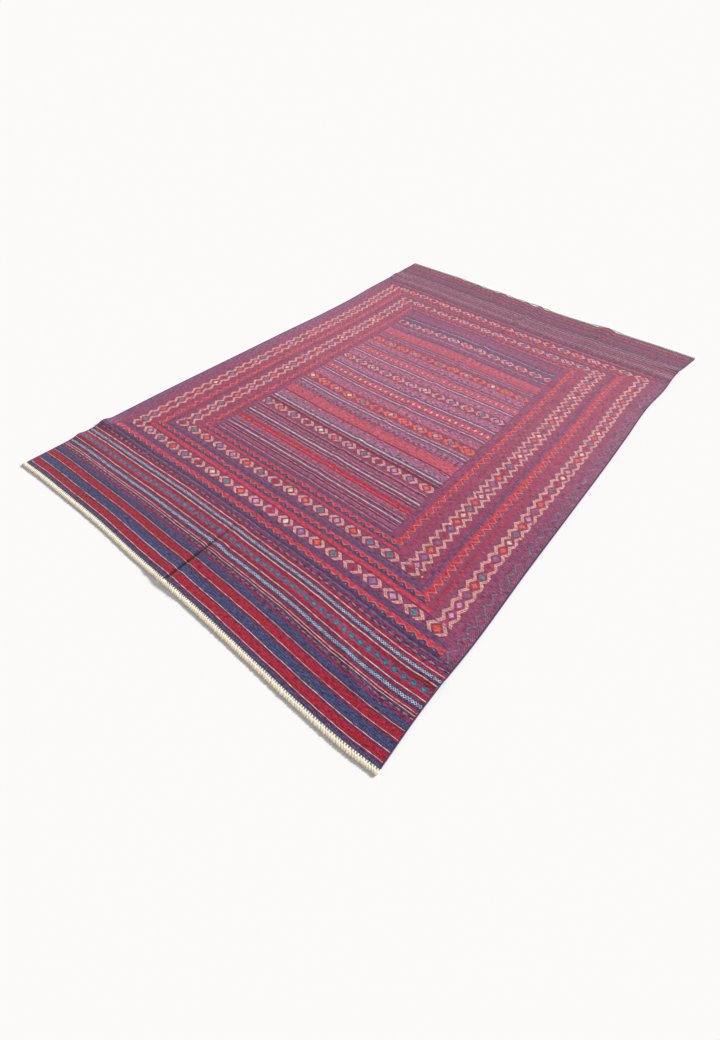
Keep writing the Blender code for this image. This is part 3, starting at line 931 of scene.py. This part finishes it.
def zone_material(name):
    """Makes the material of a zone."""
    if name == "panel outer":
        weave = panel_outer()
    elif name == "panel inner":
        weave = panel_inner()
    elif name == "right edge":
        weave = right_edge()
    elif name == "left edge":
        weave = left_edge()
    elif name.startswith("guard row"):
        weave = guard_row(int(name[-1]))
    elif name.startswith("guard column"):
        weave = guard_column(int(name[-1]))
    elif name.startswith("guard corner"):
        weave = guard_corner(int(name[-1]))
    elif name.startswith("field stripes"):
        weave = field_stripes(int(name[-1]))
    elif name.startswith("field row"):
        weave = diamond_row(name.replace(" ", "_"), FIELD_ROWS[int(name[-1])])
    elif name.endswith("row"):
        rows = {
            "near outer row": NEAR_OUTER_ROW,
            "near inner row": NEAR_INNER_ROW,
            "far outer row": FAR_OUTER_ROW,
            "far inner row": FAR_INNER_ROW,
        }
        weave = diamond_row(name.replace(" ", "_"), rows[name])
    else:
        weave = diamond_column(name.replace(" ", "_"), COLUMNS[name.removesuffix(" column")])
    return weave.finish()


def zone_lines():
    """The values of p and q where a zone begins or ends."""
    sides = [0.0, SIDE_EDGE, *RING_A]
    left = [float(np.interp(side, LEFT_A, LEFT_P)) for side in sides]
    right = [WIDTH - side for side in sides]
    ends = [0.0, PANEL_MIDDLE, PANEL_END, *RING_B]
    far = [float(np.interp(end, FAR_B[::-1], FAR_Q[::-1])) for end in ends]
    field = []
    for table in FIELD_STRIPES:
        field += [table[0][0], table[-1][0]]
    return [*left, *right], [*ends, *far, *field[1:-1]]


def undulation(x, y):
    """The slight unevenness of a cloth that has been folded away, over and above its folds."""
    waves = (
        np.sin(x * 9.1 + y * 2.3 + 0.4) * np.sin(y * 7.3 - x * 1.7 + 1.1)
        + 0.6 * np.sin(x * 4.3 - y * 11.0 + 2.0)
        + 0.5 * np.sin(x * 17.0 + y * 3.1)
    )
    return 0.0011 + 0.0005 * waves


def make_cloth(shift):
    lines_p, lines_q = zone_lines()
    p_lines = filled([*lines_p, 0.94, 1.08], 0.0145)
    q_lines = filled(lines_q, 0.0145)
    extra = np.linspace(0.94, 1.08, 20)[1:-1]
    p_lines = np.unique(np.round(np.concatenate([p_lines, extra]), 5))
    p_lines = p_lines[np.concatenate([[True], np.diff(p_lines) > 0.0008])]
    p, q = np.meshgrid(p_lines, q_lines, indexing="ij")
    underside = cloth_underside(p, np.clip(q + bow(p, q), 0, LENGTH))
    underside[..., 2] += undulation(underside[..., 0], underside[..., 1])
    underside += shift
    top = underside + (0, 0, THICKNESS)
    columns, rows = p.shape
    points = np.concatenate([underside.reshape(-1, 3), top.reshape(-1, 3)])
    lift = columns * rows
    index = np.arange(lift).reshape(columns, rows)
    ring = np.stack([index[:-1, :-1], index[1:, :-1], index[1:, 1:], index[:-1, 1:]], axis=-1).reshape(-1, 4)
    rim = np.concatenate([index[:, 0], index[-1, 1:], index[-2::-1, -1], index[0, -2:0:-1]])
    following = np.roll(rim, -1)
    wall = np.stack([rim, following, following + lift, rim + lift], axis=-1)
    faces = np.concatenate([ring[:, ::-1], ring + lift, wall])

    mesh = bpy.data.meshes.new("kilim_weave")
    mesh.from_pydata(points.tolist(), [], faces.tolist())
    flat_p = np.concatenate([p.ravel(), p.ravel()])
    flat_q = np.concatenate([q.ravel(), q.ravel()])
    corners = faces.ravel()
    for name, across, along in (
        ("cloth", flat_p, flat_q),
        ("pattern", from_side(flat_p), from_end(flat_q)),
    ):
        layer = mesh.uv_layers.new(name=name)
        layer.uv.foreach_set("vector", np.stack([across[corners], along[corners]], -1).ravel())

    middles_p = (p_lines[:-1] + p_lines[1:]) / 2
    middles_q = (q_lines[:-1] + q_lines[1:]) / 2
    names = [[zone_name(mid_p, mid_q) for mid_q in middles_q] for mid_p in middles_p]
    used = sorted({name for column in names for name in column})
    for name in used:
        mesh.materials.append(zone_material(name))
    number = {name: place for place, name in enumerate(used)}
    zones = np.array([[number[name] for name in column] for column in names])
    wall_zones = []
    for here in rim:
        column, row = divmod(int(here), rows)
        wall_zones.append(zones[min(column, columns - 2), min(row, rows - 2)])
    slots = np.concatenate([zones.ravel(), zones.ravel(), wall_zones])
    mesh.polygons.foreach_set("material_index", slots.astype(np.int32))
    mesh.shade_smooth()
    mesh.set_sharp_from_angle(angle=math.radians(50))
    mesh.update()
    made = bpy.data.objects.new("kilim_weave", mesh)
    bpy.context.scene.collection.objects.link(made)
    return made


# ---- the edges


def plain_material(name, light, dark, size, roughness):
    """A plain material mottled between two colours."""
    made = bpy.data.materials.new(name)
    made.use_nodes = True
    nodes, links = made.node_tree.nodes, made.node_tree.links
    shader = nodes["Principled BSDF"]
    place = nodes.new("ShaderNodeTexCoord")
    noise = nodes.new("ShaderNodeTexNoise")
    noise.inputs["Scale"].default_value = 1 / size
    noise.inputs["Detail"].default_value = 3
    ramp = nodes.new("ShaderNodeValToRGB")
    ramp.color_ramp.elements[0].position = 0.35
    ramp.color_ramp.elements[0].color = [*linear(dark), 1]
    ramp.color_ramp.elements[1].position = 0.65
    ramp.color_ramp.elements[1].color = [*linear(light), 1]
    bump = nodes.new("ShaderNodeBump")
    bump.inputs["Strength"].default_value = 0.4
    bump.inputs["Distance"].default_value = 0.0006
    links.new(place.outputs["Object"], noise.inputs["Vector"])
    links.new(noise.outputs["Fac"], ramp.inputs["Fac"])
    links.new(ramp.outputs["Color"], shader.inputs["Base Color"])
    links.new(noise.outputs["Fac"], bump.inputs["Height"])
    links.new(bump.outputs["Normal"], shader.inputs["Normal"])
    shader.inputs["Roughness"].default_value = roughness
    shader.inputs["Specular IOR Level"].default_value = 0.15
    return made


def mesh_object(name, points, faces, surface):
    mesh = bpy.data.meshes.new(name)
    mesh.from_pydata([tuple(point) for point in points], [], [tuple(int(i) for i in face) for face in faces])
    mesh.materials.append(surface)
    mesh.shade_smooth()
    mesh.update()
    made = bpy.data.objects.new(name, mesh)
    bpy.context.scene.collection.objects.link(made)
    return made


def tube(points, faces, path, widths, heights, sideways, sides=8):
    """Adds a closed tube along the path, wide along the sideways direction of each place and high along Z."""
    base = len(points)
    for place, width, height, direction in zip(path, widths, heights, sideways):
        for side in range(sides):
            angle = 2 * math.pi * side / sides
            out = math.cos(angle) * width
            up = math.sin(angle) * height
            points.append((place[0] + direction[0] * out, place[1] + direction[1] * out, place[2] + up))
    rings = len(path)
    for ring in range(rings - 1):
        for side in range(sides):
            following = (side + 1) % sides
            here = base + ring * sides
            faces.append((here + side, here + following, here + sides + following, here + sides + side))
    faces.append(tuple(base + side for side in reversed(range(sides))))
    faces.append(tuple(base + (rings - 1) * sides + side for side in range(sides)))


def edge_line(p, q, shift):
    p, q = np.broadcast_arrays(np.asarray(p, float), np.asarray(q, float))
    line = cloth_underside(p, q)
    line[..., 2] += undulation(line[..., 0], line[..., 1])
    return line + shift


def make_side_cord(name, p, outward, shift, surface):
    """The cord wrapped along one side, with the slanting turns of its wrapping."""
    q = np.arange(0, LENGTH + 0.0001, 0.0022)
    line = edge_line(p, np.minimum(q, LENGTH), shift)
    points, faces = [], []
    sides = 10
    for place, along in zip(line, q):
        for side in range(sides):
            angle = 2 * math.pi * side / sides
            turn = 1 + 0.10 * math.sin(angle + 2 * math.pi * along / 0.0088)
            out = math.cos(angle) * (CORD_WIDTH - PIECE_GAP) / 2 * turn
            up = math.sin(angle) * CORD_HEIGHT / 2 * 0.92 * turn
            middle = outward * (PIECE_GAP + (CORD_WIDTH - PIECE_GAP) / 2 * 1.05)
            points.append((place[0] + middle + out, place[1], place[2] + CORD_HEIGHT / 2 + up))
    for ring in range(len(line) - 1):
        for side in range(sides):
            following = (side + 1) % sides
            here = ring * sides
            faces.append((here + side, here + following, here + sides + following, here + sides + side)[::-1])
    faces.append(tuple(range(sides)))
    faces.append(tuple(len(points) - 1 - side for side in range(sides)))
    return mesh_object(name, points, faces, surface)


def make_end_plait(name, q, outward, shift, surface, seed):
    """One end: strands of warp that leave the cloth side by side and lie over one another in a flat plait."""
    chance = np.random.default_rng(seed)
    pitch = 0.0098
    reach = CORD_WIDTH + THICKNESS
    line = edge_line(np.linspace(0, WIDTH, 401), q, shift)
    low, high = line[0, 0] - reach, line[-1, 0] + reach

    smoothed = np.convolve(np.pad(line[:, 2], 12, mode="edge"), np.ones(25) / 25, mode="valid")

    def place(x, away, rise):
        on_edge = min(max(x, line[0, 0]), line[-1, 0])
        y = np.interp(on_edge, line[:, 0], line[:, 1])
        at_edge = np.interp(on_edge, line[:, 0], line[:, 2])
        settled = np.interp(on_edge, line[:, 0], smoothed)
        part = min(away / 0.0120, 1.0)
        return (min(max(x, low + 0.003), high - 0.006), y + outward * away, at_edge + (settled - at_edge) * part + rise)

    points, faces = [], []
    core = [place(x, 0.0178, 0.0024) for x in np.linspace(low + 0.001, high - 0.001, 260)]
    tube(points, faces, core, [0.0064] * 260, [0.0022] * 260, [Vector((0, -outward, 0))] * 260)
    for start in np.arange(low + 0.003, high - 0.003, pitch):
        start = start + chance.normal(0, 0.0007)
        slant = 0.0150 + chance.normal(0, 0.0010)
        length = 1.0 + chance.normal(0, 0.02)
        fullness = 1 + chance.normal(0, 0.08)
        lift = chance.normal(0, 0.00015)
        path, widths, heights, sideways = [], [], [], []
        for away, drift, rise, width, height in (
            (0.0012, 0.00, 0.0012, 0.0022, 0.0009),
            (0.0045, 0.00, 0.0019, 0.0025, 0.0013),
            (0.0085, 0.06, 0.0028, 0.0034, 0.0017),
            (0.0120, 0.26, 0.0036, 0.0056, 0.0019),
            (0.0160, 0.52, 0.0037, 0.0064, 0.0019),
            (0.0200, 0.80, 0.0034, 0.0064, 0.0018),
            (0.0232, 0.97, 0.0026, 0.0058, 0.0016),
            (0.0246, 1.00, 0.0014, 0.0044, 0.0012),
        ):
            path.append(place(start + slant * drift, away * length, rise + lift))
            widths.append(width * fullness)
            heights.append(height)
            sideways.append(Vector((1.0, -outward * (0.6 if away > 0.009 else 0.0), 0.0)).normalized())
        tube(points, faces, path, widths, heights, sideways, sides=6)
    return mesh_object(name, points, faces, surface)


# ---- the studio


def make_floor():
    size = 90.0
    mesh = bpy.data.meshes.new("floor")
    mesh.from_pydata([(-size, -size, 0), (size, -size, 0), (size, size, 0), (-size, size, 0)], [], [(0, 1, 2, 3)])
    surface = bpy.data.materials.new("pale_floor")
    surface.use_nodes = True
    shader = surface.node_tree.nodes["Principled BSDF"]
    shader.inputs["Base Color"].default_value = (0.94, 0.94, 0.94, 1)
    shader.inputs["Roughness"].default_value = 0.95
    shader.inputs["Specular IOR Level"].default_value = 0.0
    mesh.materials.append(surface)
    floor = bpy.data.objects.new("floor", mesh)
    bpy.context.scene.collection.objects.link(floor)
    return floor


def make_lights():
    world = bpy.data.worlds.new("studio")
    bpy.context.scene.world = world
    world.use_nodes = True
    background = world.node_tree.nodes["Background"]
    background.inputs["Color"].default_value = (1.0, 1.0, 1.0, 1)
    background.inputs["Strength"].default_value = 0.40
    lamp = bpy.data.lights.new("window", "SUN")
    lamp.energy = 4.75
    lamp.angle = math.radians(12)
    lamp.color = (1.0, 0.985, 0.965)
    sun = bpy.data.objects.new("window", lamp)
    sun.rotation_euler = Vector((-0.45, -1.0, -0.50)).to_track_quat("-Z", "Y").to_euler()
    bpy.context.scene.collection.objects.link(sun)


def make_camera(shift):
    camera = bpy.data.cameras.new("camera")
    camera.lens = 17.74
    camera.sensor_width = 36.0
    camera.clip_end = 300.0
    forward = Vector((-0.41948, 0.52422, -0.74110)).normalized()
    right = Vector((0.7673, 0.6410, 0.0191))
    right = (right - forward * right.dot(forward)).normalized()
    up = right.cross(forward)
    held = bpy.data.objects.new("camera", camera)
    rotation = Matrix((right, up, -forward)).transposed().to_4x4()
    held.matrix_world = Matrix.Translation(Vector((2.2159, -0.3874, 1.5474)) + Vector(shift)) @ rotation
    bpy.context.scene.collection.objects.link(held)
    bpy.context.scene.camera = held


def main():
    sides = np.linspace(0, LENGTH, 600)
    ends = np.linspace(0, WIDTH, 400)
    lowest_x = cloth_underside(np.zeros(600), sides)[:, 0].min()
    lowest_y = cloth_underside(ends, np.zeros(400))[:, 1].min()
    low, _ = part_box("kilim_cloth")
    shift = (low[0] - lowest_x, low[1] - lowest_y, 0.0)

    wrapping = plain_material("wrapped_wool", (84, 88, 134), (104, 62, 96), 0.006, 0.9)
    cotton = plain_material("plaited_cotton", (236, 224, 204), (214, 200, 178), 0.004, 0.9)
    # The far plait has the same cotton, painted lighter: painted light that keeps it from looking shaded when the
    # camera sees it at a low angle.
    cotton_painted_light = plain_material("plaited_cotton_painted_light", (252, 250, 246), (242, 237, 228), 0.004, 0.9)

    cloth = make_cloth(shift)
    left_cord = make_side_cord("selvedge_left", 0.0, -1, shift, wrapping)
    right_cord = make_side_cord("selvedge_right", WIDTH, 1, shift, wrapping)
    near_plait = make_end_plait("plait_near", 0.0, -1, shift, cotton, seed=3)
    far_plait = make_end_plait("plait_far", LENGTH, 1, shift, cotton_painted_light, seed=8)

    for piece, node, slot in (
        (cloth, "kilim_cloth", "flat_woven_wool"),
        (left_cord, "side_cord_left", "wrapped_wool"),
        (right_cord, "side_cord_right", "wrapped_wool"),
        (near_plait, "end_plait_near", "plaited_cotton"),
        (far_plait, "end_plait_far", "plaited_cotton"),
    ):
        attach(piece, "root")
        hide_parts(node)

    floor = make_floor()
    make_lights()
    make_camera(shift)
    bpy.context.scene.view_settings.view_transform = "Standard"


main()
